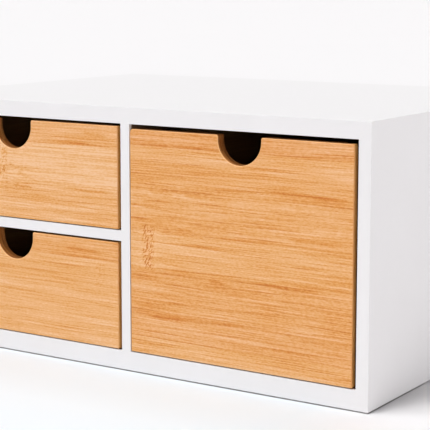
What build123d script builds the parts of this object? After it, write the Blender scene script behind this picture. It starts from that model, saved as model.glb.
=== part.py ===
from build123d import *
import os

# Desktop mini drawers: a painted carcass with two shallow drawers stacked on the
# left and one deep drawer on the right. Millimetres. +X to the viewer's right,
# the fronts face -Y, +Z up. The origin is the centre of the footprint, on the table.

os.makedirs("parts", exist_ok=True)

# ---------------------------------------------------------------- driving sizes
WIDTH = 270.0  # overall, side to side
DEPTH = 200.0  # overall, front to back
BODY_H = 125.5  # carcass height without its pads

PAD_T = 0.4  # foot pad thickness
PAD_R = 6.0
PAD_INSET = 16.0  # pad centre from the outer faces

TOP_T = 7.8
BASE_T = 9.2
SIDE_T = 6.0
DIVIDER_T = 5.0
SHELF_T = 5.0
BACK_T = 3.0

RIGHT_BAY_W = 120.0  # clear width of the right compartment
LOWER_BAY_H = 52.8  # clear height under the shelf

RABBET = 3.0  # depth of the rabbets that take the sides
DADO = 2.0  # depth of the dados in the top, the base and the left side
SHELF_DADO = 1.5  # depth of the dado in the thinner divider
BACK_LAP = 3.0  # how far the back laps onto each board
BACK_RECESS = 0.5  # the back sits this far inside the rear edges
BACK_FIT = 0.25  # gap round the back in its rabbets

ARRIS = 0.2  # eased outer edges of the painted boards

# drawers
FRONT_T = 5.5
FRONT_RABBET = 2.5  # behind the front, for the sides
FRONT_ARRIS = 0.5
WALL_T = 5.0  # drawer sides and back
WALL_INSET = 1.0  # sides stand in from the ends of the front
WALL_DROP = 3.0  # sides end below the top of the front
BOTTOM_T = 3.0
BOTTOM_UP = 3.0  # groove starts this far above the lower edge of the sides
GROOVE = 2.0
GROOVE_FIT = 0.2  # gap at the ends of the grooves
RUN_GAP = 0.2  # running clearance under the sides and behind the drawer
BACK_RABBET = 2.5  # in the sides, for the drawer back
WALL_ARRIS = 0.5

NOTCH_R = 11.3  # finger notch
NOTCH_LIP_R = 0.9  # rounded shoulders where the notch meets the top edge
NOTCH_ARRIS = 0.5

# fasteners
BRAD_R = 0.6
BRAD_HEAD_R = 1.1
BRAD_HEAD_T = 0.7
BRAD_L = 14.0
BRAD_PROUD = 0.15
CARCASS_BRAD_R = 0.7
CARCASS_BRAD_HEAD_R = 1.2
CARCASS_BRAD_L = 20.0
CARCASS_BRAD_SET = 1.0  # set under the surface and filled

# ---------------------------------------------------------------- derived planes
X_OUT = WIDTH / 2
Y_FRONT, Y_REAR = -DEPTH / 2, DEPTH / 2
Z_UNDER = PAD_T
Z_FLOOR = Z_UNDER + BASE_T
Z_TOP = Z_UNDER + BODY_H
Z_CEIL = Z_TOP - TOP_T

X_LEFT_IN = -X_OUT + SIDE_T
X_RIGHT_IN = X_OUT - SIDE_T
X_DIV_R = X_RIGHT_IN - RIGHT_BAY_W
X_DIV_L = X_DIV_R - DIVIDER_T
X_DIV_C = (X_DIV_L + X_DIV_R) / 2

Z_SHELF_LOW = Z_FLOOR + LOWER_BAY_H
Z_SHELF_TOP = Z_SHELF_LOW + SHELF_T

Y_BACK_OUT = Y_REAR - BACK_RECESS
Y_BACK_IN = Y_BACK_OUT - BACK_T
Y_LAP = Y_BACK_IN  # rabbet for the back starts here
X_LAP = X_RIGHT_IN + BACK_LAP


# ---------------------------------------------------------------- carcass
# Top board: rabbeted at both ends for the sides, dado for the divider, rabbet for the back.
with BuildPart() as top_panel:
    with BuildSketch(Plane.XZ):
        with Locations((0, (Z_CEIL + Z_TOP) / 2)):
            Rectangle(WIDTH, TOP_T)
        with Locations((-X_OUT, Z_CEIL), (X_OUT, Z_CEIL)):
            Rectangle(2 * SIDE_T, 2 * RABBET, mode=Mode.SUBTRACT)
        with Locations((X_DIV_C, Z_CEIL)):
            Rectangle(DIVIDER_T, 2 * DADO, mode=Mode.SUBTRACT)
    extrude(amount=DEPTH / 2, both=True)
    with BuildSketch(Plane.XZ.offset(-Y_REAR)):
        with Locations((0, Z_CEIL)):
            Rectangle(2 * X_LAP, 2 * BACK_LAP)
    extrude(amount=Y_REAR - Y_LAP, mode=Mode.SUBTRACT)
    upper = top_panel.faces().sort_by(Axis.Z)[-1].edges()
    corners = top_panel.edges().filter_by(Axis.Z).filter_by(
        lambda e: abs(abs(e.center().X) - X_OUT) < 0.01 and abs(e.center().Y) > Y_REAR - 0.01
    )
    fillet(upper + corners, ARRIS)
top_panel.part.label = "top_panel"
export_step(top_panel.part, "parts/top_panel.step")

# Base board, the same joints turned over.
with BuildPart() as bottom_panel:
    with BuildSketch(Plane.XZ):
        with Locations((0, (Z_UNDER + Z_FLOOR) / 2)):
            Rectangle(WIDTH, BASE_T)
        with Locations((-X_OUT, Z_FLOOR), (X_OUT, Z_FLOOR)):
            Rectangle(2 * SIDE_T, 2 * RABBET, mode=Mode.SUBTRACT)
        with Locations((X_DIV_C, Z_FLOOR)):
            Rectangle(DIVIDER_T, 2 * DADO, mode=Mode.SUBTRACT)
    extrude(amount=DEPTH / 2, both=True)
    with BuildSketch(Plane.XZ.offset(-Y_REAR)):
        with Locations((0, Z_FLOOR)):
            Rectangle(2 * X_LAP, 2 * BACK_LAP)
    extrude(amount=Y_REAR - Y_LAP, mode=Mode.SUBTRACT)
    lower = bottom_panel.faces().sort_by(Axis.Z)[0].edges()
    corners = bottom_panel.edges().filter_by(Axis.Z).filter_by(
        lambda e: abs(abs(e.center().X) - X_OUT) < 0.01 and abs(e.center().Y) > Y_REAR - 0.01
    )
    fillet(lower + corners, ARRIS)
bottom_panel.part.label = "bottom_panel"
export_step(bottom_panel.part, "parts/bottom_panel.step")

SIDE_Z0, SIDE_Z1 = Z_FLOOR - RABBET, Z_CEIL + RABBET

# Left side: dado for the shelf on its inner face, rabbet for the back behind it.
with BuildPart() as left_side_panel:
    with BuildSketch(Plane.YZ.offset(-X_OUT)):
        with Locations((0, (SIDE_Z0 + SIDE_Z1) / 2)):
            Rectangle(DEPTH, SIDE_Z1 - SIDE_Z0)
    extrude(amount=SIDE_T)
    with BuildSketch(Plane.XZ.offset(-Y_REAR)):
        with Locations((X_LEFT_IN, (Z_SHELF_LOW + Z_SHELF_TOP) / 2)):
            Rectangle(2 * DADO, SHELF_T)
    extrude(amount=DEPTH, mode=Mode.SUBTRACT)
    with BuildSketch(Plane.XZ.offset(-Y_REAR)):
        with Locations((X_LEFT_IN, (SIDE_Z0 + SIDE_Z1) / 2)):
            Rectangle(2 * BACK_LAP, SIDE_Z1 - SIDE_Z0)
    extrude(amount=Y_REAR - Y_LAP, mode=Mode.SUBTRACT)
    fillet(
        left_side_panel.edges().filter_by(Axis.Z).group_by(Axis.X)[0],
        ARRIS,
    )
left_side_panel.part.label = "left_side_panel"
export_step(left_side_panel.part, "parts/left_side_panel.step")

with BuildPart() as right_side_panel:
    with BuildSketch(Plane.YZ.offset(X_RIGHT_IN)):
        with Locations((0, (SIDE_Z0 + SIDE_Z1) / 2)):
            Rectangle(DEPTH, SIDE_Z1 - SIDE_Z0)
    extrude(amount=SIDE_T)
    with BuildSketch(Plane.XZ.offset(-Y_REAR)):
        with Locations((X_RIGHT_IN, (SIDE_Z0 + SIDE_Z1) / 2)):
            Rectangle(2 * BACK_LAP, SIDE_Z1 - SIDE_Z0)
    extrude(amount=Y_REAR - Y_LAP, mode=Mode.SUBTRACT)
    fillet(
        right_side_panel.edges().filter_by(Axis.Z).group_by(Axis.X)[-1],
        ARRIS,
    )
right_side_panel.part.label = "right_side_panel"
export_step(right_side_panel.part, "parts/right_side_panel.step")

# Divider between the two columns, housed top and bottom, dado for the shelf on its left.
with BuildPart() as centre_divider:
    with BuildSketch(Plane.XZ.offset(-Y_LAP)):
        with Locations((X_DIV_C, (Z_FLOOR + Z_CEIL) / 2)):
            Rectangle(DIVIDER_T, Z_CEIL - Z_FLOOR + 2 * DADO)
        with Locations((X_DIV_L, (Z_SHELF_LOW + Z_SHELF_TOP) / 2)):
            Rectangle(2 * SHELF_DADO, SHELF_T, mode=Mode.SUBTRACT)
    extrude(amount=Y_LAP - Y_FRONT)
centre_divider.part.label = "centre_divider"
export_step(centre_divider.part, "parts/centre_divider.step")

with BuildPart() as left_shelf:
    with BuildSketch(Plane.XY.offset(Z_SHELF_LOW)):
        with Locations(
            (
                (X_LEFT_IN - DADO + X_DIV_L + SHELF_DADO) / 2,
                (Y_FRONT + Y_LAP) / 2,
            )
        ):
            Rectangle(X_DIV_L + SHELF_DADO - X_LEFT_IN + DADO, Y_LAP - Y_FRONT)
    extrude(amount=SHELF_T)
left_shelf.part.label = "left_shelf"
export_step(left_shelf.part, "parts/left_shelf.step")

# Thin back, let into the rabbets.
with BuildPart() as back_panel:
    with BuildSketch(Plane.XZ.offset(-Y_BACK_OUT)):
        with Locations((0, (Z_FLOOR + Z_CEIL) / 2)):
            Rectangle(
                2 * (X_LAP - BACK_FIT),
                Z_CEIL - Z_FLOOR + 2 * (BACK_LAP - BACK_FIT),
            )
    extrude(amount=BACK_T)
back_panel.part.label = "back_panel"
export_step(back_panel.part, "parts/back_panel.step")

# Pins through the back into the edges of the boards behind it. Each is a shank and a
# flat head that stands slightly proud of the back, inside its recess.
TOP_PIN_Z = Z_CEIL + BACK_LAP / 2
BASE_PIN_Z = Z_FLOOR - BACK_LAP / 2
SIDE_PIN_X = X_RIGHT_IN + BACK_LAP / 2
pin_places = (
    [(x, TOP_PIN_Z) for x in (-105, -38, 38, 105)]
    + [(x, BASE_PIN_Z) for x in (-105, -38, 38, 105)]
    + [(s * SIDE_PIN_X, z) for s in (-1, 1) for z in (36, 91)]
    + [(X_DIV_C, z) for z in (36, 91)]
    + [(-62, (Z_SHELF_LOW + Z_SHELF_TOP) / 2)]
)
with BuildPart() as back_panel_pins:
    with BuildSketch(Plane.XZ.offset(-(Y_BACK_OUT + BRAD_PROUD))):
        with Locations(*pin_places):
            Circle(BRAD_HEAD_R)
    extrude(amount=BRAD_HEAD_T)
    with BuildSketch(Plane.XZ.offset(-(Y_BACK_OUT + BRAD_PROUD))):
        with Locations(*pin_places):
            Circle(BRAD_R)
    extrude(amount=BRAD_L)
back_panel_pins.part.label = "back_panel_pins"
export_step(back_panel_pins.part, "parts/back_panel_pins.step")

# Brads down through the top and up through the base into the sides, set and filled.
carcass_places = [
    (s * (X_OUT - SIDE_T / 2), y) for s in (-1, 1) for y in (-78.0, 0.0, 78.0)
]
with BuildPart() as carcass_brads:
    with BuildSketch(Plane.XY.offset(Z_TOP - CARCASS_BRAD_SET)):
        with Locations(*carcass_places):
            Circle(CARCASS_BRAD_HEAD_R)
    extrude(amount=-BRAD_HEAD_T)
    with BuildSketch(Plane.XY.offset(Z_TOP - CARCASS_BRAD_SET)):
        with Locations(*carcass_places):
            Circle(CARCASS_BRAD_R)
    extrude(amount=-CARCASS_BRAD_L)
    with BuildSketch(Plane.XY.offset(Z_UNDER + CARCASS_BRAD_SET)):
        with Locations(*carcass_places):
            Circle(CARCASS_BRAD_HEAD_R)
    extrude(amount=BRAD_HEAD_T)
    with BuildSketch(Plane.XY.offset(Z_UNDER + CARCASS_BRAD_SET)):
        with Locations(*carcass_places):
            Circle(CARCASS_BRAD_R)
    extrude(amount=CARCASS_BRAD_L)
carcass_brads.part.label = "carcass_brads"
export_step(carcass_brads.part, "parts/carcass_brads.step")

with BuildPart() as foot_pads:
    with BuildSketch(Plane.XY):
        with GridLocations(WIDTH - 2 * PAD_INSET, DEPTH - 2 * PAD_INSET, 2, 2):
            Circle(PAD_R)
    extrude(amount=PAD_T)
foot_pads.part.label = "foot_pads"
export_step(foot_pads.part, "parts/foot_pads.step")


# ---------------------------------------------------------------- drawers
# name, front left x, front right x, front lower z, front upper z, floor it runs on,
# notch offset from the middle of the front, how far the notch's centre lies under the
# top of the front, radius of the front's upper left corner
DRAWERS = [
    ("upper_left_drawer", X_LEFT_IN + 0.4, X_DIV_L - 1.9, Z_SHELF_TOP + 0.4, Z_CEIL - 1.4, Z_SHELF_TOP, 1.2, 3.1, 0.6),
    ("lower_left_drawer", X_LEFT_IN + 0.4, X_DIV_L - 1.9, Z_FLOOR + 0.4, Z_SHELF_LOW - 1.0, Z_FLOOR, 1.45, 3.0, 0.6),
    ("right_drawer", X_DIV_R + 0.4, X_RIGHT_IN - 2.0, Z_FLOOR + 0.4, Z_CEIL - 2.2, Z_FLOOR, 1.25, 1.9, 1.6),
]

for name, x0, x1, z0, z1, run_z, notch_dx, notch_drop, corner_r in DRAWERS:
    xc, zc = (x0 + x1) / 2, (z0 + z1) / 2
    y_front_back = Y_FRONT + FRONT_T
    y_end = Y_BACK_IN - RUN_GAP
    sx0, sx1 = x0 + WALL_INSET, x1 - WALL_INSET
    wz0, wz1 = run_z + RUN_GAP, z1 - WALL_DROP
    bz0 = wz0 + BOTTOM_UP
    bz1 = bz0 + BOTTOM_T
    notch_x, notch_z = xc + notch_dx, z1 - notch_drop

    # Front: a board with a half-round finger notch, rabbeted behind for the sides and
    # grooved for the bottom, with every visible edge eased.
    with BuildPart() as front:
        with BuildSketch(Plane.XZ.offset(-Y_FRONT)) as face:
            with Locations((xc, zc)):
                Rectangle(x1 - x0, z1 - z0)
            with Locations((notch_x, notch_z)):
                Circle(NOTCH_R, mode=Mode.SUBTRACT)
            with Locations((notch_x, notch_z + notch_drop)):
                Rectangle(2 * NOTCH_R, 2 * notch_drop, mode=Mode.SUBTRACT)
            lips = face.vertices().filter_by(
                lambda v: abs(v.Y - z1) < 0.01 and abs(abs(v.X - notch_x) - NOTCH_R) < 0.01
            )
            fillet(lips, NOTCH_LIP_R)
            soft = face.vertices().filter_by(
                lambda v: abs(v.Y - z1) < 0.01 and abs(v.X - x0) < 0.01
            )
            fillet(soft, corner_r)
            hard = face.vertices().filter_by(
                lambda v: abs(v.X - x1) < 0.01 or (abs(v.X - x0) < 0.01 and abs(v.Y - z0) < 0.01)
            )
            fillet(hard, 0.6)
        extrude(amount=-FRONT_T)
        with BuildSketch(Plane.XZ.offset(-y_front_back)):
            with Locations((x0, zc), (x1, zc)):
                Rectangle(2 * (WALL_INSET + WALL_T), z1 - z0 + 2)
        extrude(amount=FRONT_RABBET, mode=Mode.SUBTRACT)
        with BuildSketch(Plane.XZ.offset(-y_front_back)):
            with Locations((xc, (bz0 + bz1) / 2)):
                Rectangle(x1 - x0, BOTTOM_T)
        extrude(amount=GROOVE, mode=Mode.SUBTRACT)
        rim = front.faces().sort_by(Axis.Y)[0].edges()
        fillet(rim, FRONT_ARRIS)
        inner_rim = front.edges().filter_by(
            lambda e: abs(e.center().Y - y_front_back) < 0.01
            and abs(e.center().X - notch_x) < NOTCH_R + 1.0
            and e.center().Z > z1 - notch_drop - NOTCH_R - 0.5
            and e.geom_type == GeomType.CIRCLE
            and abs(e.radius - NOTCH_R) < 0.01
        )
        fillet(inner_rim, NOTCH_ARRIS)
    front.part.label = name + "_front"
    export_step(front.part, "parts/" + name + "_front.step")

    # Sides: a groove for the bottom inside, a rabbet for the back at the rear end.
    y_side = y_front_back - FRONT_RABBET
    with BuildPart() as left_side:
        with BuildSketch(Plane.YZ.offset(sx0)):
            with Locations(((y_side + y_end) / 2, (wz0 + wz1) / 2)):
                Rectangle(y_end - y_side, wz1 - wz0)
        extrude(amount=WALL_T)
        with BuildSketch(Plane.XZ.offset(-y_end)):
            with Locations((sx0 + WALL_T, (bz0 + bz1) / 2)):
                Rectangle(2 * GROOVE, BOTTOM_T)
        extrude(amount=y_end - y_side, mode=Mode.SUBTRACT)
        with BuildSketch(Plane.XZ.offset(-y_end)):
            with Locations((sx0 + WALL_T, (wz0 + wz1) / 2)):
                Rectangle(2 * BACK_RABBET, wz1 - wz0)
        extrude(amount=WALL_T, mode=Mode.SUBTRACT)
        top_edges = left_side.edges().filter_by(Axis.Y).group_by(Axis.Z)[-1]
        fillet(top_edges, WALL_ARRIS)
    left_side.part.label = name + "_left_side"
    export_step(left_side.part, "parts/" + name + "_left_side.step")

    with BuildPart() as right_side:
        with BuildSketch(Plane.YZ.offset(sx1 - WALL_T)):
            with Locations(((y_side + y_end) / 2, (wz0 + wz1) / 2)):
                Rectangle(y_end - y_side, wz1 - wz0)
        extrude(amount=WALL_T)
        with BuildSketch(Plane.XZ.offset(-y_end)):
            with Locations((sx1 - WALL_T, (bz0 + bz1) / 2)):
                Rectangle(2 * GROOVE, BOTTOM_T)
        extrude(amount=y_end - y_side, mode=Mode.SUBTRACT)
        with BuildSketch(Plane.XZ.offset(-y_end)):
            with Locations((sx1 - WALL_T, (wz0 + wz1) / 2)):
                Rectangle(2 * BACK_RABBET, wz1 - wz0)
        extrude(amount=WALL_T, mode=Mode.SUBTRACT)
        top_edges = right_side.edges().filter_by(Axis.Y).group_by(Axis.Z)[-1]
        fillet(top_edges, WALL_ARRIS)
    right_side.part.label = name + "_right_side"
    export_step(right_side.part, "parts/" + name + "_right_side.step")

    # Back: stands on the bottom, between the rabbets of the sides.
    bx0, bx1 = sx0 + WALL_T - BACK_RABBET, sx1 - WALL_T + BACK_RABBET
    with BuildPart() as back:
        with BuildSketch(Plane.XZ.offset(-y_end)):
            with Locations(((bx0 + bx1) / 2, (bz1 + wz1) / 2)):
                Rectangle(bx1 - bx0, wz1 - bz1)
        extrude(amount=WALL_T)
        top_edges = back.edges().filter_by(Axis.X).group_by(Axis.Z)[-1]
        fillet(top_edges, WALL_ARRIS)
    back.part.label = name + "_back"
    export_step(back.part, "parts/" + name + "_back.step")

    # Bottom: a thin board in the grooves, running under the back.
    gx0 = sx0 + WALL_T - GROOVE + GROOVE_FIT
    gx1 = sx1 - WALL_T + GROOVE - GROOVE_FIT
    gy0 = y_front_back - GROOVE + GROOVE_FIT
    with BuildPart() as bottom:
        with BuildSketch(Plane.XY.offset(bz0)):
            with Locations(((gx0 + gx1) / 2, (gy0 + y_end) / 2)):
                Rectangle(gx1 - gx0, y_end - gy0)
        extrude(amount=BOTTOM_T)
    bottom.part.label = name + "_bottom"
    export_step(bottom.part, "parts/" + name + "_bottom.step")

    # Brads: two through each side into the back, three up through the bottom into the back.
    brad_y = y_end - WALL_T / 2
    brad_z = [bz1 + (wz1 - bz1) * k for k in (0.2, 0.8)]
    brad_x = [bx0 + (bx1 - bx0) * k for k in (0.2, 0.5, 0.8)]
    with BuildPart() as brads:
        with BuildSketch(Plane.YZ.offset(sx0 - BRAD_PROUD)):
            with Locations(*[(brad_y, z) for z in brad_z]):
                Circle(BRAD_HEAD_R)
        extrude(amount=BRAD_HEAD_T)
        with BuildSketch(Plane.YZ.offset(sx0 - BRAD_PROUD)):
            with Locations(*[(brad_y, z) for z in brad_z]):
                Circle(BRAD_R)
        extrude(amount=BRAD_L)
        with BuildSketch(Plane.YZ.offset(sx1 + BRAD_PROUD)):
            with Locations(*[(brad_y, z) for z in brad_z]):
                Circle(BRAD_HEAD_R)
        extrude(amount=-BRAD_HEAD_T)
        with BuildSketch(Plane.YZ.offset(sx1 + BRAD_PROUD)):
            with Locations(*[(brad_y, z) for z in brad_z]):
                Circle(BRAD_R)
        extrude(amount=-BRAD_L)
        with BuildSketch(Plane.XY.offset(bz0 - BRAD_PROUD)):
            with Locations(*[(x, brad_y) for x in brad_x]):
                Circle(BRAD_HEAD_R)
        extrude(amount=BRAD_HEAD_T)
        with BuildSketch(Plane.XY.offset(bz0 - BRAD_PROUD)):
            with Locations(*[(x, brad_y) for x in brad_x]):
                Circle(BRAD_R)
        extrude(amount=BRAD_L)
    brads.part.label = name + "_brads"
    export_step(brads.part, "parts/" + name + "_brads.step")
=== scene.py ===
import math

import bpy
from mathutils import Matrix, Vector

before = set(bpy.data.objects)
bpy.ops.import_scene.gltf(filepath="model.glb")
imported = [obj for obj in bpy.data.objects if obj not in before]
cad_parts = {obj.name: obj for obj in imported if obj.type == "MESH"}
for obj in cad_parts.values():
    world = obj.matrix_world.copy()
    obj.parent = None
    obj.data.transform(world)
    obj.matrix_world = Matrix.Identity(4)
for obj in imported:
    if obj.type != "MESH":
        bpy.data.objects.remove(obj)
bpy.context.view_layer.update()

# Desktop mini drawers: painted carcass, bamboo fronts, plain wooden drawer boxes. Metres,
# +X to the viewer's right, the fronts face -Y, +Z up.


def lin(r, g, b):
    """A display colour (0-255) as linear light."""
    out = []
    for c in (r, g, b):
        c /= 255.0
        out.append(c / 12.92 if c <= 0.04045 else ((c + 0.055) / 1.055) ** 2.4)
    return (*out, 1.0)


# ---------------------------------------------------------------- node helper
class Net:
    """Short calls that lay nodes in a tree. Any value may be a number or a socket."""

    def __init__(self, tree):
        self.tree = tree

    def put(self, socket, value):
        if value is None:
            return
        if isinstance(value, bpy.types.NodeSocket):
            self.tree.links.new(value, socket)
        else:
            socket.default_value = value

    def add(self, kind, **settings):
        node = self.tree.nodes.new(kind)
        for key, value in settings.items():
            setattr(node, key, value)
        return node

    def math(self, op, a, b=None, c=None, clamp=False):
        n = self.add("ShaderNodeMath", operation=op, use_clamp=clamp)
        for socket, value in zip(n.inputs, (a, b, c)):
            self.put(socket, value)
        return n.outputs[0]

    def plus(self, a, b):
        return self.math("ADD", a, b)

    def minus(self, a, b):
        return self.math("SUBTRACT", a, b)

    def times(self, a, b):
        return self.math("MULTIPLY", a, b)

    def mad(self, a, b, c):
        return self.math("MULTIPLY_ADD", a, b, c)

    def vec(self, x=0.0, y=0.0, z=0.0):
        n = self.add("ShaderNodeCombineXYZ")
        for socket, value in zip(n.inputs, (x, y, z)):
            self.put(socket, value)
        return n.outputs[0]

    def split(self, v):
        n = self.add("ShaderNodeSeparateXYZ")
        self.put(n.inputs[0], v)
        return n.outputs

    def scaled(self, v, x, y, z):
        n = self.add("ShaderNodeVectorMath", operation="MULTIPLY")
        self.put(n.inputs[0], v)
        n.inputs[1].default_value = (x, y, z)
        return n.outputs[0]

    def noise(self, v, scale=1.0, detail=2.0, rough=0.5, w=None, distort=0.0):
        n = self.add("ShaderNodeTexNoise", noise_dimensions="3D" if w is None else "4D")
        self.put(n.inputs["Vector"], v)
        n.inputs["Scale"].default_value = scale
        n.inputs["Detail"].default_value = detail
        n.inputs["Roughness"].default_value = rough
        n.inputs["Distortion"].default_value = distort
        if w is not None:
            self.put(n.inputs["W"], w)
        return n.outputs[0]

    def cells(self, v, scale=1.0, feature="F1"):
        n = self.add("ShaderNodeTexVoronoi", feature=feature)
        self.put(n.inputs["Vector"], v)
        n.inputs["Scale"].default_value = scale
        return n.outputs["Distance"]

    def fit(self, v, a, b, c=0.0, d=1.0, smooth=False):
        n = self.add("ShaderNodeMapRange")
        n.clamp = True
        if smooth:
            n.interpolation_type = "SMOOTHSTEP"
        for socket, value in zip(n.inputs, (v, a, b, c, d)):
            self.put(socket, value)
        return n.outputs[0]

    def ramp(self, fac, stops, interpolation="LINEAR"):
        n = self.add("ShaderNodeValToRGB")
        r = n.color_ramp
        r.interpolation = interpolation
        while len(r.elements) < len(stops):
            r.elements.new(1.0)
        for element, (position, colour) in zip(r.elements, stops):
            element.position = position
            element.color = colour
        self.put(n.inputs[0], fac)
        return n.outputs[0]

    def mix(self, fac, a, b, kind="MIX"):
        n = self.add("ShaderNodeMix", data_type="RGBA", blend_type=kind)
        self.put(n.inputs[0], fac)
        self.put(n.inputs[6], a)
        self.put(n.inputs[7], b)
        return n.outputs[2]

    def bump(self, height, distance, strength=1.0, normal=None):
        n = self.add("ShaderNodeBump")
        n.inputs["Strength"].default_value = strength
        n.inputs["Distance"].default_value = distance
        self.put(n.inputs["Height"], height)
        if normal is not None:
            self.put(n.inputs["Normal"], normal)
        return n.outputs[0]

    def millimetres(self):
        """Place on the piece in millimetres, which travels with it, and its facing."""
        c = self.add("ShaderNodeTexCoord")
        return self.scaled(c.outputs["Object"], 1000.0, 1000.0, 1000.0), c.outputs["Normal"]


class Finish(Net):
    """A new material with one Principled shader."""

    def __init__(self, name, **constants):
        self.material = bpy.data.materials.new(name)
        self.material.use_nodes = True
        super().__init__(self.material.node_tree)
        self.tree.nodes.clear()
        self.out = self.add("ShaderNodeOutputMaterial")
        self.shader = self.add("ShaderNodeBsdfPrincipled")
        self.tree.links.new(self.shader.outputs[0], self.out.inputs[0])
        for key, value in constants.items():
            self.shader.inputs[key.replace("_", " ")].default_value = value

    def set(self, **sockets):
        for key, value in sockets.items():
            self.put(self.shader.inputs[key.replace("_", " ")], value)
        return self.material


# ---------------------------------------------------------------- white paint
def paint(name, colour, rough, seed, bare=None, peel=0.00003):
    """Sprayed satin paint on board: a faint cloudiness, an orange-peel skin and a few nibs.
    bare is the facing of the surfaces inside the carcass, where the paint gives way to the unpainted
    fibreboard just behind the front edge; that board is given a dark brown which also serves as painted shade inside
    the gaps and notches."""
    m = Finish(name)
    p, normal = m.millimetres()
    cloud = m.noise(p, 1 / 38.0, 3.0, 0.55, w=seed)
    skin = m.noise(p, 1 / 1.7, 2.0, 0.5, w=seed + 3.0)
    fine = m.noise(p, 1 / 0.35, 1.0, 0.5, w=seed + 5.0)
    nib = m.fit(m.cells(p, 1 / 9.0), 0.0, 0.055, 1.0, 0.0, smooth=True)
    shade = m.fit(cloud, 0.3, 0.7, 0.0, 1.0)
    base = m.mix(shade, (colour[0] * 0.985, colour[1] * 0.983, colour[2] * 0.98, 1), (*[min(1.0, c * 1.008) for c in colour[:3]], 1))
    base = m.mix(m.fit(skin, 0.35, 0.65, 0.0, 0.05), base, (colour[0] * 0.93, colour[1] * 0.93, colour[2] * 0.93, 1))
    roughness = m.fit(m.plus(m.times(cloud, 0.6), m.times(skin, 0.4)), 0.35, 0.65, rough - 0.05, rough + 0.05)
    height = m.plus(m.times(skin, 1.0), m.plus(m.times(fine, 0.12), m.times(nib, 0.5)))
    if bare is not None:
        n = m.add("ShaderNodeVectorMath", operation="DOT_PRODUCT")
        m.put(n.inputs[0], normal)
        n.inputs[1].default_value = bare[:3]
        turned = n.outputs["Value"]
        if bare[3]:
            turned = m.math("ABSOLUTE", turned)
        x, y, z = m.split(p)
        fade = m.mad(m.noise(p, 1 / 6.0, 3.0, 0.6, w=seed + 9.0), 1.6, m.minus(y, 0.8))
        inside = m.times(m.fit(turned, 0.6, 0.9), m.fit(fade, -99.0, -97.6, smooth=True))
        # Unpainted fibreboard inside the carcass, in a dark brown that also serves as painted shade in the gaps and
        # notches.
        fluff = m.noise(p, 1 / 0.8, 3.0, 0.65, w=seed + 11.0)
        raw_board_and_shade = m.ramp(fluff, [(0.25, lin(88, 62, 40)), (0.5, lin(112, 82, 54)), (0.75, lin(134, 102, 70))])
        base = m.mix(inside, base, raw_board_and_shade)
        roughness = m.math("MAXIMUM", roughness, m.times(inside, 0.85))
    return m.set(Base_Color=base, Roughness=roughness, Normal=m.bump(height, peel))


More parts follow.
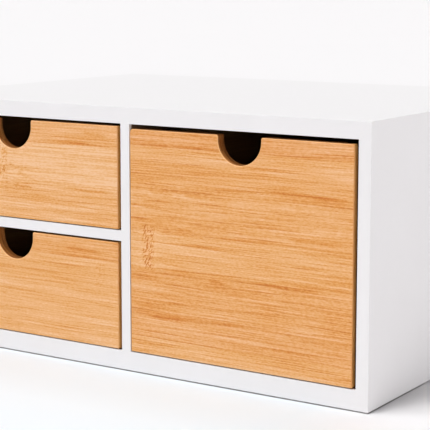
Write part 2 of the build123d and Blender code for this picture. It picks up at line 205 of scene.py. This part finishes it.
# ---------------------------------------------------------------- bamboo
def bamboo(name, x0, width, z1, height, seed, strips, streaks, marks, flecks=(), shades=(), contrast=1.0):
    """Laminated bamboo, strips laid level. x0 is the left end and z1 the top edge of the board,
    in millimetres. strips are (distance under the top edge, tone, warmth); streaks are
    (from x0, to x0, under top at the left, under top at the right, half width, strength);
    marks are the nodes of the cane: (from x0, upper limit, lower limit under the top, strength);
    flecks are patches of short orange dashes: (from x0, to x0, upper, lower limit, strength);
    shades are paler or darker bands inside a strip: (upper, lower limit under the top, amount)."""
    m = Finish(name)
    p, normal = m.millimetres()
    x, y, z = m.split(p)
    u = m.minus(x, x0)
    v = m.minus(z1, z)

    # Each strip is another cane: its tone, its own number and its warmth.
    stops = [
        (max(0.0, d / height), (tone, (k * 0.37 + 0.11) % 1.0, warm, 1.0))
        for k, (d, tone, warm) in enumerate(strips)
    ]
    saw = m.noise(m.vec(m.times(u, 1 / 60.0), seed, 0.0), 1.0, 1.0, 0.5)
    v_edge = m.mad(saw, 0.5, m.minus(v, 0.25))
    strip = m.add("ShaderNodeSeparateColor")
    m.put(strip.inputs[0], m.ramp(m.times(v_edge, 1 / height), stops, "CONSTANT"))
    tone, number, warmth = strip.outputs
    own = m.mad(number, 61.0, seed)

    # Fibres wander a little and flare round the nodes.
    wander = m.noise(m.vec(m.times(u, 1 / 95.0), m.times(y, 1 / 95.0), m.times(v, 1 / 30.0)), 1.0, 1.0, 0.5, w=seed + 1.0)
    v_f = m.mad(wander, 2.2, m.minus(v, 1.1))
    near = 0.0
    at = 0.0
    for at_u, low, high, strength in marks:
        wobble = m.noise(m.vec(0.0, seed + at_u, m.times(v, 1 / 5.0)), 1.0, 2.0, 0.6)
        du = m.math("ABSOLUTE", m.minus(u, m.mad(wobble, 3.0, at_u - 1.5)))
        rows = m.times(m.fit(v, low - 0.6, low + 0.6, smooth=True), m.fit(v, high - 0.6, high + 0.6, 1.0, 0.0, smooth=True))
        near = m.plus(near, m.times(rows, m.fit(du, 2.0, 15.0, strength, 0.0, smooth=True)))
        at = m.plus(at, m.times(rows, m.fit(du, 1.4, 4.2, strength, 0.0, smooth=True)))
    flare = m.noise(m.vec(m.times(u, 1 / 8.0), m.times(y, 1 / 9.0), m.times(v, 1 / 3.0)), 1.0, 1.0, 0.5, w=own)
    v_f = m.plus(v_f, m.times(near, m.mad(flare, 2.8, -1.4)))

    def grain(along, across, deep, detail, offset, rough=0.5):
        at_ = m.vec(m.times(u, 1 / along), m.times(y, 1 / deep), m.times(v_f, 1 / across))
        return m.noise(at_, 1.0, detail, rough, w=m.plus(own, offset))

    hair = grain(22.0, 0.42, 0.6, 1.0, 0.0, 0.6)
    fibre = grain(60.0, 0.95, 1.4, 1.0, 7.0, 0.5)
    band = grain(150.0, 2.4, 3.5, 2.0, 13.0, 0.5)
    drift = grain(80.0, 13.0, 16.0, 2.0, 19.0)
    speck = grain(1.5, 0.55, 0.5, 1.0, 29.0)
    dark = m.fit(grain(60.0, 0.62, 1.6, 1.0, 37.0), 0.60, 0.74, smooth=True)
    light = m.fit(grain(44.0, 0.50, 1.5, 1.0, 43.0), 0.60, 0.74, smooth=True)

    # Streaks that are plain to see, each made of several fine lines.
    rough_v = m.mad(grain(26.0, 2.4, 3.0, 1.0, 53.0), 1.0, m.minus(v, 0.5))
    marked = 0.0
    for u_a, u_b, v_a, v_b, half, strength in streaks:
        middle, reach = (u_a + u_b) / 2, (u_b - u_a) / 2
        slope = (v_b - v_a) / (u_b - u_a)
        off = m.math("ABSOLUTE", m.minus(rough_v, m.mad(u, slope, v_a - slope * u_a)))
        along = m.math("ABSOLUTE", m.minus(u, middle))
        part = m.times(m.fit(along, reach * 0.40, reach, strength, 0.0, smooth=True), m.fit(off, 0.0, half, 1.0, 0.0, smooth=True))
        marked = m.plus(marked, part)
    marked = m.times(marked, m.fit(m.plus(m.times(hair, 0.55), m.times(fibre, 0.45)), 0.38, 0.62, 0.15, 1.35))

    # Patches of short dashes, as round the outer skin of the cane.
    dash = m.fit(grain(3.2, 0.62, 0.8, 2.0, 71.0, 0.6), 0.50, 0.66, smooth=True)
    spotted = 0.0
    for u_a, u_b, v_a, v_b, strength in flecks:
        across = m.times(m.fit(v, v_a - 1.0, v_a + 1.0, smooth=True), m.fit(v, v_b - 1.0, v_b + 1.0, 1.0, 0.0, smooth=True))
        middle, reach = (u_a + u_b) / 2, (u_b - u_a) / 2
        along = m.math("ABSOLUTE", m.minus(u, middle))
        spotted = m.plus(spotted, m.times(across, m.fit(along, reach * 0.5, reach, strength, 0.0, smooth=True)))
    spotted = m.times(spotted, dash)

    # The glue lines between strips.
    seam = 0.0
    for d, _, _ in strips[1:]:
        off = m.math("ABSOLUTE", m.minus(v_edge, d))
        seam = m.math("MAXIMUM", seam, m.fit(off, 0.02, 0.26, 1.0, 0.0, smooth=True))
    seam = m.times(seam, m.fit(drift, 0.38, 0.62, 0.1, 0.9))

    # Short slanting ticks at a node, and the scar that runs across the strip.
    slant = m.vec(m.mad(v, 0.60, u), m.times(y, 0.3), m.mad(u, -0.40, v))
    tick = m.noise(m.scaled(slant, 1 / 0.85, 0.4, 1 / 2.3), 1.0, 2.0, 0.55, w=own)
    tick = m.times(m.fit(tick, 0.47, 0.63, smooth=True), at)

    value = m.mad(m.minus(hair, 0.5), 1.40, tone)
    value = m.mad(m.minus(fibre, 0.5), 0.85, value)
    value = m.mad(m.minus(band, 0.5), 0.75, value)
    value = m.mad(m.minus(drift, 0.5), 0.55, value)
    value = m.mad(m.minus(speck, 0.5), 0.90, value)
    value = m.mad(light, 0.20, value)
    value = m.mad(dark, -0.30, value)
    value = m.mad(seam, -0.28, value)
    value = m.mad(marked, -0.60, value)
    value = m.mad(spotted, -0.42, value)
    value = m.mad(tick, -1.20, value)
    value = m.mad(near, 0.06, value)
    if contrast != 1.0:
        value = m.mad(m.minus(value, tone), contrast, tone)
    for v_a, v_b, amount in shades:
        soft = m.times(m.fit(v_f, v_a - 1.2, v_a + 1.2, smooth=True), m.fit(v_f, v_b - 1.2, v_b + 1.2, 1.0, 0.0, smooth=True))
        value = m.mad(soft, amount, value)

    face = m.ramp(
        value,
        [
            (0.00, lin(203, 116, 36)),
            (0.25, lin(219, 145, 62)),
            (0.42, lin(225, 158, 86)),
            (0.55, lin(229, 167, 101)),
            (0.68, lin(232, 173, 113)),
            (0.85, lin(236, 182, 129)),
            (1.00, lin(240, 192, 146)),
        ],
    )
    face = m.mix(m.times(warmth, 0.5), face, lin(232, 150, 78), "MULTIPLY")

    # Painted highlight: the eased edges are given a paler colour that stands in for the light they catch; near the
    # right end the rim colour is less pale.
    nx, ny, nz = m.split(normal)
    facing = m.math("ABSOLUTE", ny)
    highlight_mask = m.times(m.fit(facing, 0.15, 0.45, smooth=True), m.fit(facing, 0.90, 0.985, 1.0, 0.0, smooth=True))
    painted_rim_highlight = m.mix(m.fit(u, width - 1.4, width - 0.9), lin(246, 192, 128), lin(226, 156, 88))
    face = m.mix(m.times(highlight_mask, 0.60), face, painted_rim_highlight)

    # The sawn edges are browner: the canes show as lines that follow the face, with dark dots.
    dots = m.cells(m.vec(m.times(x, 0.05), m.times(y, 1 / 0.42), m.times(z, 1 / 0.42)))
    layer = m.noise(m.vec(m.times(x, 0.04), m.times(y, 1 / 0.9), m.times(z, 0.06)), 1.0, 2.0, 0.6, w=own)
    cut_value = m.plus(m.times(dots, 0.35), m.mad(layer, 1.9, -0.60))
    # Painted shade and light: the sawn notch wall gets a dark brown and the sawn ends of the board a lighter copy of
    # the same end grain.
    cut = m.ramp(cut_value, [(0.10, lin(116, 62, 22)), (0.50, lin(172, 103, 44)), (0.95, lin(218, 150, 84))])
    # Painted shade: the sawn wall of the notch grows darker the deeper it lies behind the face.
    depth_shade = m.fit(y, -100.0, -95.0, 1.0, 0.80)
    cut = m.mix(1.0, cut, m.vec(depth_shade, depth_shade, depth_shade), "MULTIPLY")
    end = m.ramp(cut_value, [(0.10, lin(204, 128, 56)), (0.50, lin(238, 168, 88)), (0.95, lin(248, 192, 116))])
    lit_end_mask = m.plus(m.fit(u, width - 2.0, width - 1.2), m.fit(u, 1.2, 2.0, 1.0, 0.0))
    cut = m.mix(lit_end_mask, cut, end)
    sawn = m.fit(facing, 0.15, 0.45, 1.0, 0.0, smooth=True)
    colour = m.mix(sawn, face, cut)

    roughness = m.fit(m.plus(m.times(fibre, 0.5), m.times(hair, 0.5)), 0.3, 0.7, 0.56, 0.46)
    relief = m.plus(m.times(value, 0.6), m.times(dots, m.times(sawn, 0.4)))
    return m.set(Base_Color=colour, Roughness=roughness, Normal=m.bump(relief, 0.00002))


# Distances in millimetres from the left end and from the top edge of each front.
right_front = bamboo(
    "bamboo_right",
    9.4,
    117.6,
    115.9,
    105.9,
    3.7,
    [
        (0.0, 0.48, 0.25),
        (7.2, 0.56, 0.05),
        (24.4, 0.54, 0.05),
        (46.4, 0.58, 0.0),
        (65.2, 0.48, 0.10),
        (84.6, 0.48, 0.15),
        (97.6, 0.58, 0.0),
    ],
    [
        (0, 60, 6.9, 6.7, 0.45, 0.7),
        (70, 118, 7.6, 6.3, 0.5, 0.8),
        (68, 118, 13.4, 13.5, 0.4, 0.5),
        (36, 82, 25.6, 23.6, 0.7, 0.7),
        (70, 119, 23.6, 24.6, 0.8, 1.0),
        (0, 26, 24.8, 25.2, 0.5, 0.7),
        (10, 26, 28.5, 29.4, 1.6, 0.6),
        (30, 42, 28.4, 29.8, 1.2, 0.55),
        (0, 38, 35.4, 38.2, 0.5, 0.5),
        (54, 80, 40.6, 40.0, 0.5, 0.5),
        (84, 116, 43.4, 44.4, 1.8, 0.6),
        (56, 88, 43.0, 42.8, 0.5, 0.5),
        (42, 80, 46.8, 47.0, 0.6, 0.9),
        (24, 36, 44.6, 45.2, 1.0, 0.5),
        (60, 80, 58.4, 58.6, 0.5, 0.45),
        (64, 106, 65.4, 65.8, 1.2, 1.0),
        (90, 119, 64.2, 64.6, 0.4, 0.6),
        (76, 100, 68.4, 68.8, 0.7, 0.6),
        (43, 54, 66.6, 68.2, 1.4, 0.6),
        (16, 60, 73.6, 75.2, 0.8, 0.3),
        (58, 100, 78.6, 79.0, 0.8, 0.3),
        (0, 34, 82.4, 83.4, 1.3, 0.7),
        (8, 34, 87.6, 87.2, 0.9, 0.9),
        (94, 119, 84.6, 84.8, 0.5, 0.6),
        (0, 60, 97.4, 97.6, 0.4, 0.5),
        (60, 112, 97.2, 98.4, 0.4, 0.5),
    ],
    [(10.4, 44.6, 65.2, 1.0)],
    [(0, 34, 24.0, 34.0, 0.35), (26, 60, 44.0, 50.0, 0.3), (0, 44, 80.0, 90.0, 0.35)],
    [
        (-3.0, 4.0, 0.11),
        (7.0, 24.0, 0.03),
        (43.5, 48.2, -0.12),
        (52.0, 60.0, 0.07),
        (64.0, 68.0, -0.04),
        (68.0, 84.0, 0.04),
        (84.0, 88.0, -0.03),
        (88.0, 97.0, 0.13),
        (97.0, 100.0, 0.06),
    ],
)

upper_front = bamboo(
    "bamboo_upper_left",
    -128.6,
    130.7,
    116.7,
    48.9,
    11.3,
    [(0.0, 0.61, 0.10), (10.6, 0.90, -0.1), (30.6, 0.63, 0.03)],
    [
        (78, 131, 8.6, 10.2, 0.6, 0.7),
        (108, 126, 4.0, 5.4, 1.6, 0.8),
        (98, 116, 8.6, 9.8, 1.6, 0.6),
        (64, 100, 31.2, 31.0, 0.5, 0.5),
        (94, 131, 31.4, 32.4, 1.0, 0.9),
        (64, 80, 32.6, 32.8, 0.9, 0.6),
        (56, 92, 36.6, 36.2, 0.6, 0.6),
        (96, 131, 38.4, 42.0, 0.6, 0.35),
        (56, 90, 40.6, 41.2, 0.5, 0.5),
        (104, 124, 43.0, 43.6, 0.5, 0.35),
        (10, 48, 32.0, 31.6, 0.8, 0.7),
        (0, 30, 5.6, 6.4, 1.0, 0.6),
        (4, 40, 40.0, 41.0, 0.5, 0.5),
    ],
    [(59.6, 11.4, 30.2, 0.5)],
    [(44, 84, 22.0, 36.0, 0.8), (56, 74, 12.0, 24.0, 0.5)],
    [(-3.0, 8.0, 0.05), (12.0, 20.0, 0.03), (24.0, 28.0, -0.03)],
)

lower_front = bamboo(
    "bamboo_lower_left",
    -128.6,
    130.7,
    61.4,
    51.4,
    23.9,
    [(0.0, 0.52, 0.10), (9.6, 0.61, 0.0), (23.2, 0.64, 0.0), (46.4, 0.64, 0.0)],
    [
        (92, 131, 2.2, 3.0, 0.7, 0.5),
        (96, 124, 5.0, 6.2, 1.6, 0.8),
        (84, 131, 8.4, 9.0, 0.6, 0.6),
        (66, 100, 18.8, 18.6, 0.5, 0.5),
        (54, 118, 23.6, 23.0, 0.5, 0.7),
        (54, 86, 29.2, 29.6, 0.6, 0.7),
        (96, 131, 29.0, 32.0, 0.5, 0.4),
        (54, 62, 31.8, 32.6, 0.9, 0.8),
        (60, 86, 38.4, 38.8, 0.5, 0.45),
        (54, 66, 45.0, 45.4, 0.6, 0.8),
        (70, 131, 46.2, 46.6, 0.5, 0.6),
        (2, 44, 23.0, 23.4, 0.6, 0.6),
        (8, 50, 36.0, 36.8, 0.6, 0.5),
    ],
    [(119.5, 10.2, 22.6, 0.22), (50.6, 24.0, 46.2, 0.8)],
    (),
    [
        (3.5, 8.0, 0.08),
        (8.0, 12.0, 0.02),
        (24.0, 28.0, 0.08),
        (28.0, 32.0, -0.06),
        (36.0, 40.0, -0.09),
        (40.0, 44.0, 0.03),
        (44.0, 48.0, 0.06),
    ],
    0.8,
)


# ---------------------------------------------------------------- plain wood of the boxes
def board_wood(name, seed, axis):
    """Light plain-sawn wood, grain along x or y: soft growth bands, pores and end grain."""
    m = Finish(name)
    p, normal = m.millimetres()
    x, y, z = m.split(p)
    along, across = (x, y) if axis == "x" else (y, x)
    lift = m.noise(m.vec(m.times(along, 1 / 90.0), m.times(across, 1 / 40.0), m.times(z, 1 / 22.0)), 1.0, 2.0, 0.5, w=seed)
    zz = m.mad(lift, 14.0, z)
    rings = m.noise(m.vec(m.times(along, 1 / 260.0), m.times(across, 1 / 30.0), m.times(zz, 1 / 6.5)), 1.0, 3.0, 0.55, w=seed + 4.0)
    fibre = m.noise(m.vec(m.times(along, 1 / 14.0), m.times(across, 1 / 0.7), m.times(zz, 1 / 0.5)), 1.0, 2.0, 0.6, w=seed + 8.0)
    pore = m.fit(m.noise(m.vec(m.times(along, 1 / 2.6), m.times(across, 1 / 0.3), m.times(zz, 1 / 0.26)), 1.0, 1.0, 0.5, w=seed + 12.0), 0.62, 0.76, smooth=True)
    value = m.mad(m.minus(rings, 0.5), 1.5, 0.52)
    value = m.mad(m.minus(fibre, 0.5), 0.55, value)
    value = m.mad(pore, -0.18, value)
    face = m.ramp(
        value,
        [(0.0, lin(148, 96, 50)), (0.35, lin(178, 126, 74)), (0.6, lin(192, 140, 86)), (1.0, lin(208, 160, 106))],
    )
    nx, ny, nz = m.split(normal)
    end = m.fit(m.math("ABSOLUTE", nx if axis == "x" else ny), 0.6, 0.95, smooth=True)
    dots = m.cells(m.vec(m.times(x, 1 / 0.5), m.times(y, 1 / 0.5), m.times(z, 1 / 0.5)))
    cut = m.ramp(m.mad(rings, 0.6, m.times(dots, 0.5)), [(0.1, lin(128, 82, 44)), (0.6, lin(168, 118, 70)), (1.0, lin(190, 144, 92))])
    colour = m.mix(end, face, cut)
    return m.set(Base_Color=colour, Roughness=m.fit(fibre, 0.3, 0.7, 0.66, 0.54), Normal=m.bump(value, 0.00005))


def bottom_board(name, seed):
    """Thin three-ply board: a peeled veneer with wide flames, and layers on its edges."""
    m = Finish(name)
    p, normal = m.millimetres()
    x, y, z = m.split(p)
    flame = m.noise(m.vec(m.times(x, 1 / 34.0), m.times(y, 1 / 120.0), seed), 1.0, 2.0, 0.45, w=seed)
    bands = m.math("SINE", m.mad(flame, 46.0, m.times(x, 0.05)))
    fibre = m.noise(m.vec(m.times(x, 1 / 0.45), m.times(y, 1 / 11.0), 0.0), 1.0, 2.0, 0.6, w=seed + 2.0)
    pore = m.fit(m.noise(m.vec(m.times(x, 1 / 0.25), m.times(y, 1 / 2.2), 0.0), 1.0, 1.0, 0.5, w=seed + 5.0), 0.62, 0.75, smooth=True)
    value = m.mad(bands, 0.13, m.mad(m.minus(fibre, 0.5), 0.8, 0.55))
    value = m.mad(pore, -0.2, value)
    face = m.ramp(value, [(0.0, lin(166, 120, 72)), (0.4, lin(194, 150, 100)), (0.7, lin(206, 166, 118)), (1.0, lin(220, 186, 142))])
    nx, ny, nz = m.split(normal)
    side = m.fit(m.math("ABSOLUTE", nz), 0.5, 0.8, 1.0, 0.0, smooth=True)
    ply = m.math("SINE", m.times(z, 6.2832))
    layers = m.mix(m.fit(ply, -0.3, 0.3), lin(150, 104, 62), lin(204, 166, 118))
    return m.set(Base_Color=m.mix(side, face, layers), Roughness=m.fit(fibre, 0.3, 0.7, 0.72, 0.6), Normal=m.bump(value, 0.00004))


def steel(name):
    """Drawn wire: fine marks across the head and a little dulling."""
    m = Finish(name, Metallic=1.0)
    p, normal = m.millimetres()
    marks = m.noise(m.scaled(p, 3.0, 3.0, 9.0), 1.0, 3.0, 0.6)
    dull = m.noise(p, 1 / 0.6, 2.0, 0.5)
    colour = m.ramp(m.plus(m.times(marks, 0.5), m.times(dull, 0.5)), [(0.3, lin(150, 150, 152)), (0.7, lin(206, 206, 208))])
    return m.set(Base_Color=colour, Roughness=m.fit(dull, 0.3, 0.7, 0.28, 0.5), Normal=m.bump(marks, 0.00002))


def foam(name):
    """Closed-cell pad: pitted dark grey."""
    m = Finish(name)
    p, normal = m.millimetres()
    pits = m.cells(p, 1 / 0.35)
    mottle = m.noise(p, 1 / 2.5, 2.0, 0.5)
    colour = m.ramp(m.plus(m.times(pits, 0.6), m.times(mottle, 0.5)), [(0.1, lin(38, 38, 40)), (0.6, lin(66, 66, 68)), (1.0, lin(84, 84, 86))])
    return m.set(Base_Color=colour, Roughness=m.fit(mottle, 0.3, 0.7, 0.85, 0.95), Normal=m.bump(pits, 0.00012))


WHITE = (0.838, 0.822, 0.830)
finishes = {
    "top_panel": paint("paint_top", WHITE, 0.40, 1.0, (0, 0, -1, False)),
    "bottom_panel": paint("paint_base", WHITE, 0.40, 2.0, (0, 0, 1, False)),
    "left_side_panel": paint("paint_left", WHITE, 0.40, 3.0, (1, 0, 0, False)),
    "right_side_panel": paint("paint_right", WHITE, 0.40, 4.0, (-1, 0, 0, False)),
    "centre_divider": paint("paint_divider", WHITE, 0.42, 5.0, (1, 0, 0, True)),
    "left_shelf": paint("paint_shelf", WHITE, 0.42, 6.0, (0, 0, 1, True)),
    "back_panel": paint("paint_back", (0.80, 0.785, 0.785), 0.55, 7.0, (0, -1, 0, False), 0.00005),
    "back_panel_pins": steel("pin_steel"),
    "carcass_brads": steel("brad_steel"),
    "foot_pads": foam("pad_foam"),
    "right_drawer_front": right_front,
    "upper_left_drawer_front": upper_front,
    "lower_left_drawer_front": lower_front,
}
for k, drawer in enumerate(("upper_left_drawer", "lower_left_drawer", "right_drawer")):
    finishes[drawer + "_left_side"] = board_wood(drawer + "_left_wood", 31.0 + 5 * k, "y")
    finishes[drawer + "_right_side"] = board_wood(drawer + "_right_wood", 32.7 + 5 * k, "y")
    finishes[drawer + "_back"] = board_wood(drawer + "_back_wood", 34.1 + 5 * k, "x")
    finishes[drawer + "_bottom"] = bottom_board(drawer + "_bottom_ply", 60.0 + 3 * k)
    finishes[drawer + "_brads"] = finishes["carcass_brads"]

for name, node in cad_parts.items():
    node.data.materials.clear()
    node.data.materials.append(finishes[name])


# ---------------------------------------------------------------- floor
floor_mesh = bpy.data.meshes.new("floor")
count, reach = 96, 60.0
ring = [(reach * math.cos(2 * math.pi * k / count), reach * math.sin(2 * math.pi * k / count), 0.0) for k in range(count)]
floor_mesh.from_pydata(ring, [], [list(range(count))])
floor = bpy.data.objects.new("floor", floor_mesh)
bpy.context.scene.collection.objects.link(floor)
m = Finish("floor_white")
place, _ = m.millimetres()
tint = m.noise(place, 1 / 400.0, 2.0, 0.5)
fx, fy, _ = m.split(place)
aside = m.math("MAXIMUM", m.minus(m.math("ABSOLUTE", fx), 135.0), 0.0)
ahead = m.math("MAXIMUM", m.minus(m.times(fy, -1.0), 100.0), 0.0)
away = m.math("SQRT", m.plus(m.times(aside, aside), m.times(ahead, ahead)))
pale = m.mix(tint, (0.905, 0.890, 0.898, 1), (0.911, 0.896, 0.904, 1))
# Painted reflection: a warm tint on the floor in front of the bamboo fronts stands in for the light they throw back
# onto it.
sides = m.times(m.fit(fx, -230.0, -135.0, smooth=True), m.fit(fx, 105.0, 145.0, 1.0, 0.0, smooth=True))
bounce_tint_mask = m.times(m.fit(fy, -60.0, -100.0), m.times(m.fit(away, 50.0, 330.0, 1.0, 0.0, smooth=True), sides))
warm = m.mix(m.fit(fx, -60.0, 30.0), (0.945, 1.03, 1.085, 1), (0.945, 1.05, 1.11, 1))
pale = m.mix(bounce_tint_mask, pale, warm, "MULTIPLY")
# Painted shade: the floor is darkened close in front of the base, fading out over 60 mm.
painted_shade_near_base = m.fit(away, 0.0, 60.0, 0.87, 1.0)
pale = m.mix(m.times(m.fit(fy, -90.0, -105.0), m.fit(fx, 110.0, 150.0, 1.0, 0.0)), pale, m.vec(painted_shade_near_base, painted_shade_near_base, painted_shade_near_base), "MULTIPLY")
# Painted shadow: a dark patch on the floor under the front of the base.
painted_contact_shadow = m.times(m.times(m.fit(fy, -100.8, -100.0), m.fit(fy, -40.0, -60.0)), m.fit(aside, 0.0, 0.4, 1.0, 0.0))
pale = m.mix(painted_contact_shadow, pale, (0.50, 0.485, 0.485, 1))
floor_mesh.materials.append(m.set(Base_Color=pale, Roughness=0.8, Specular_IOR_Level=0.2))

# ---------------------------------------------------------------- light
# Each softbox is a wide, even source: azimuth and elevation of its middle, strength.
for name, azimuth, elevation, energy in (
    ("high_left", 225.0, 70.0, 1.758),
    ("low_front", 250.0, 30.0, 0.921),
    ("mid_front", 250.0, 50.0, 0.342),
    ("overhead", 240.0, 86.0, 0.258),
    ("rear", 90.0, 60.0, 0.174),
    ("rear_left", 150.0, 45.0, 0.243),
):
    softbox = bpy.data.lights.new(name, "SUN")
    softbox.energy = energy
    softbox.angle = math.radians(24.0)
    lamp = bpy.data.objects.new(name, softbox)
    bpy.context.scene.collection.objects.link(lamp)
    a, e = math.radians(azimuth), math.radians(elevation)
    towards = Vector((math.cos(a) * math.cos(e), math.sin(a) * math.cos(e), math.sin(e)))
    lamp.rotation_mode = "QUATERNION"
    lamp.rotation_quaternion = towards.to_track_quat("Z", "Y")

# Two bright walls of the studio: a low one on the right and one behind the object.
world = bpy.data.worlds.new("studio")
bpy.context.scene.world = world
world.use_nodes = True
w = Net(world.node_tree)
w.tree.nodes.clear()
direction = w.add("ShaderNodeTexCoord").outputs["Generated"]
dx, dy, dz = w.split(direction)
level_off = w.math("ABSOLUTE", dz)
right_wall = w.times(w.fit(level_off, 0.06, 0.36, 1.0, 0.0, smooth=True), w.fit(dx, 0.2, 0.8, smooth=True))
behind = w.mad(dx, -0.5, w.times(dy, 0.866))
back_wall = w.times(w.fit(level_off, 0.25, 0.60, 1.0, 0.0, smooth=True), w.fit(behind, 0.2, 0.8, smooth=True))
glow = w.mad(right_wall, 3.5, w.times(back_wall, 1.22))
seen = w.add("ShaderNodeLightPath").outputs["Is Camera Ray"]
lit = w.add("ShaderNodeBackground")
lit.inputs["Color"].default_value = (1.0, 0.99, 0.995, 1)
w.put(lit.inputs["Strength"], glow)
wall = w.add("ShaderNodeBackground")
wall.inputs["Color"].default_value = (0.975, 0.958, 0.966, 1)
wall.inputs["Strength"].default_value = 1.0
both = w.add("ShaderNodeMixShader")
w.put(both.inputs[0], seen)
w.tree.links.new(lit.outputs[0], both.inputs[1])
w.tree.links.new(wall.outputs[0], both.inputs[2])
w.tree.links.new(both.outputs[0], w.add("ShaderNodeOutputWorld").inputs[0])

scene = bpy.context.scene
scene.view_settings.view_transform = "Standard"
scene.view_settings.look = "None"

# ---------------------------------------------------------------- camera
yaw, pitch, roll = math.radians(33.128), math.radians(7.494), math.radians(0.029)
forward = Vector((-math.sin(yaw) * math.cos(pitch), math.cos(yaw) * math.cos(pitch), -math.sin(pitch)))
level = Vector((math.cos(yaw), math.sin(yaw), 0.0))
upward = level.cross(forward)
right = math.cos(roll) * level + math.sin(roll) * upward
up = -math.sin(roll) * level + math.cos(roll) * upward
camera_data = bpy.data.cameras.new("camera")
camera_data.sensor_width = 36.0
camera_data.lens = 1457.2 / 430 * 36.0
camera_data.shift_y = -0.1
camera_data.clip_start = 0.01
camera_data.clip_end = 200.0
camera_data.dof.use_dof = False
camera = bpy.data.objects.new("camera", camera_data)
scene.collection.objects.link(camera)
place = Matrix((right, up, -forward)).transposed().to_4x4()
place.translation = Vector((0.41115, -0.64305, 0.18437))
camera.matrix_world = place
scene.camera = camera
